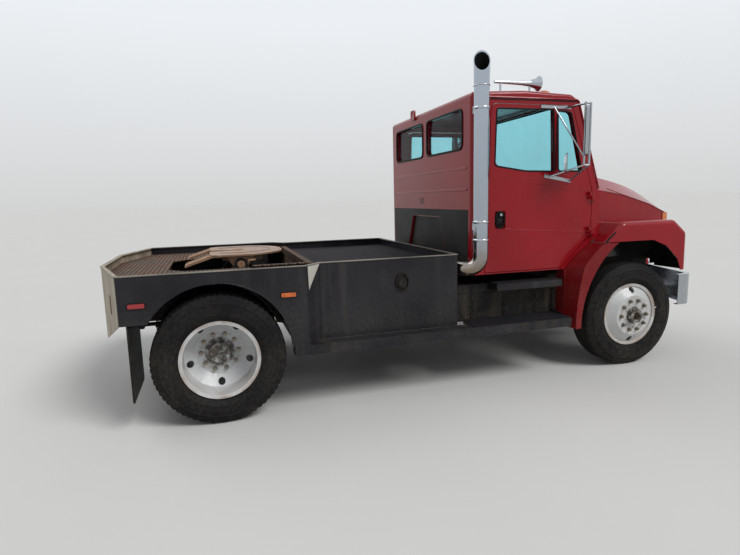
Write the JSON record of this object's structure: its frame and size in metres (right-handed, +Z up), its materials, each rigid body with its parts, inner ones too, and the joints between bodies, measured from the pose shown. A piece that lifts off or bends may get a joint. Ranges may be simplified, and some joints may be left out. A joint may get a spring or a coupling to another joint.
{
  "type": "semi truck tractor unit",
  "caption": "Two-axle truck tractor with a red conventional cab, tilting hood, hauler bed, coupling plate, vertical exhaust and twin rear wheels.",
  "frame": {"origin": "on the ground at the middle of the overall length and width", "axes": "+X forward, +Y to the left, +Z up"},
  "size_m": [5.616, 2.6176, 2.8488],
  "materials": {
    "chassis_black": "worn satin black paint with road dust",
    "bumper_chrome": "weathered chrome plate",
    "engine_grey": "oily cast iron",
    "bed_black": "faded semi-gloss black paint",
    "deck_plate": "worn black tread plate with rust",
    "flap_rubber": "dusty rubber",
    "cab_red": "gloss red paint, lightly faded",
    "cab_trim": "dark moulded plastic",
    "cab_glass": "clear glass",
    "side_glass": "green tinted glass",
    "seat_cloth": "grey woven cloth",
    "amber_lens": "amber lens",
    "red_lens": "red lens",
    "lamp_glass": "fluted clear lens",
    "mirror_steel": "polished stainless tube and plate",
    "tyre": "dusty black rubber",
    "wheel_white": "white painted steel, rust stained",
    "coupling_steel": "bare steel, greasy with surface rust"
  },
  "bodies": {
    "chassis": {"frame_rails": "chassis_black", "front_bumper": "bumper_chrome", "engine": "engine_grey", "driveline": "chassis_black", "rear_axle": "chassis_black", "front_axle": "chassis_black", "leaf_springs": "chassis_black", "bed_walls": "bed_black", "bed_deck": "deck_plate", "bed_boxes": "bed_black", "coupling_base": "chassis_black", "side_steps": "bed_black", "battery_boxes": "chassis_black", "mud_flaps": "flap_rubber", "exhaust_stack": "bumper_chrome", "cab_sides": "cab_red", "cab_back": "cab_red", "cab_floor": "cab_trim", "cab_front": "cab_red", "cab_roof": "cab_red", "cab_glass": "cab_glass", "dashboard": "cab_trim", "seats": "seat_cloth", "fender_quarters": "cab_red", "roof_lamps": "amber_lens", "air_horn": "bumper_chrome", "marker_lamps": "amber_lens", "tail_lamps": "red_lens"},
    "hood": {"hood_shell": "cab_red", "grille": "bumper_chrome", "headlamps": "lamp_glass", "corner_lamps": "amber_lens"},
    "door_left": {"door_left": "cab_red", "door_glass_left": "side_glass", "door_mirror_left": "mirror_steel"},
    "door_right": {"door_right": "cab_red", "door_glass_right": "side_glass", "door_mirror_right": "mirror_steel"},
    "knuckle_left": {"knuckle_left": "chassis_black"},
    "knuckle_right": {"knuckle_right": "chassis_black"},
    "tie_rod": {"tie_rod": "chassis_black"},
    "front_wheel_left": {"front_tyre_left": "tyre", "front_wheel_left": "wheel_white"},
    "front_wheel_right": {"front_tyre_right": "tyre", "front_wheel_right": "wheel_white"},
    "rear_wheel_left": {"rear_tyres_left": "tyre", "rear_wheels_left": "wheel_white"},
    "rear_wheel_right": {"rear_tyres_right": "tyre", "rear_wheels_right": "wheel_white"},
    "coupling_plate": {"coupling_plate": "coupling_steel"}
  },
  "joints": [
    {"name": "hood_tilt", "type": "hinge", "parent": "chassis", "child": "hood", "pos_m": [2.728, 0, 0.878], "axis": [0, 1, 0], "range_deg": [0, 65]},
    {"name": "door_left_swing", "type": "hinge", "parent": "chassis", "child": "door_left", "pos_m": [1.468, 1.047, 1.479], "axis": [0, 0, -1], "range_deg": [0, 66]},
    {"name": "door_right_swing", "type": "hinge", "parent": "chassis", "child": "door_right", "pos_m": [1.468, -1.047, 1.479], "axis": [0, 0, 1], "range_deg": [0, 66]},
    {"name": "steer_left", "type": "hinge", "parent": "chassis", "child": "knuckle_left", "pos_m": [1.887, 0.89, 0.498], "axis": [0, 0, 1], "range_deg": [-36, 36]},
    {"name": "steer_right", "type": "hinge", "parent": "chassis", "child": "knuckle_right", "pos_m": [1.887, -0.89, 0.498], "axis": [0, 0, 1], "range_deg": [-36, 36]},
    {"name": "tie_rod_pivot", "type": "hinge", "parent": "knuckle_left", "child": "tie_rod", "pos_m": [1.737, 0.89, 0.33], "axis": [0, 0, 1], "range_deg": [-36, 36]},
    {"name": "roll_front_left", "type": "hinge", "parent": "knuckle_left", "child": "front_wheel_left", "pos_m": [1.887, 1.009, 0.498], "axis": [0, 1, 0], "continuous": true},
    {"name": "roll_front_right", "type": "hinge", "parent": "knuckle_right", "child": "front_wheel_right", "pos_m": [1.887, -1.009, 0.498], "axis": [0, 1, 0], "continuous": true},
    {"name": "roll_rear_left", "type": "hinge", "parent": "chassis", "child": "rear_wheel_left", "pos_m": [-1.924, 0.91, 0.498], "axis": [0, 1, 0], "continuous": true},
    {"name": "roll_rear_right", "type": "hinge", "parent": "chassis", "child": "rear_wheel_right", "pos_m": [-1.924, -0.91, 0.498], "axis": [0, 1, 0], "continuous": true},
    {"name": "coupling_tilt", "type": "hinge", "parent": "chassis", "child": "coupling_plate", "pos_m": [-1.694, 0, 1.12], "axis": [0, 1, 0], "range_deg": [-10, 10]}
  ],
  "couplings": [
    {"joint": "steer_right", "follows": "steer_left", "ratio": 1},
    {"joint": "tie_rod_pivot", "follows": "steer_left", "ratio": -1}
  ]
}
